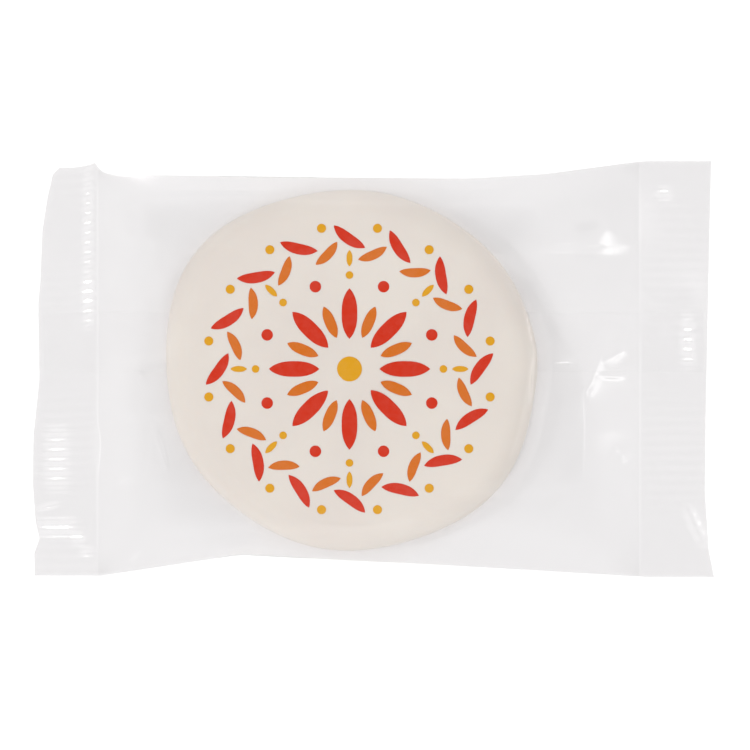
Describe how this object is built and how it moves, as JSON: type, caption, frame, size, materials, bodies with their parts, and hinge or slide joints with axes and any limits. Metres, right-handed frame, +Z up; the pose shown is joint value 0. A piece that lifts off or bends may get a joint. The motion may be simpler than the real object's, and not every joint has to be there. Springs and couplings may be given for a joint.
{
  "type": "wrapped iced cookie",
  "caption": "Round iced cookie with a printed rosette, sealed flat in a clear film pack with a crimped seal at each end.",
  "frame": {"origin": "bottom centre of the pack's box, in the plane that the pack lies on", "axes": "+X along the pack from one end seal to the other, +Y across it, +Z up through the iced face"},
  "size_m": [0.1424, 0.087, 0.0098],
  "materials": {
    "clear_film": "clear glossy packing film, faintly milky where it is doubled in the seals",
    "icing": "matt set icing, warm off-white, slightly translucent",
    "biscuit": "dry baked dough, pale golden with a browner edge",
    "print_red": "edible ink, matt red",
    "print_orange": "edible ink, matt orange",
    "print_gold": "edible ink, matt golden yellow"
  },
  "bodies": {
    "root": {"sealed_pack": "clear_film"}
  },
  "joints": []
}
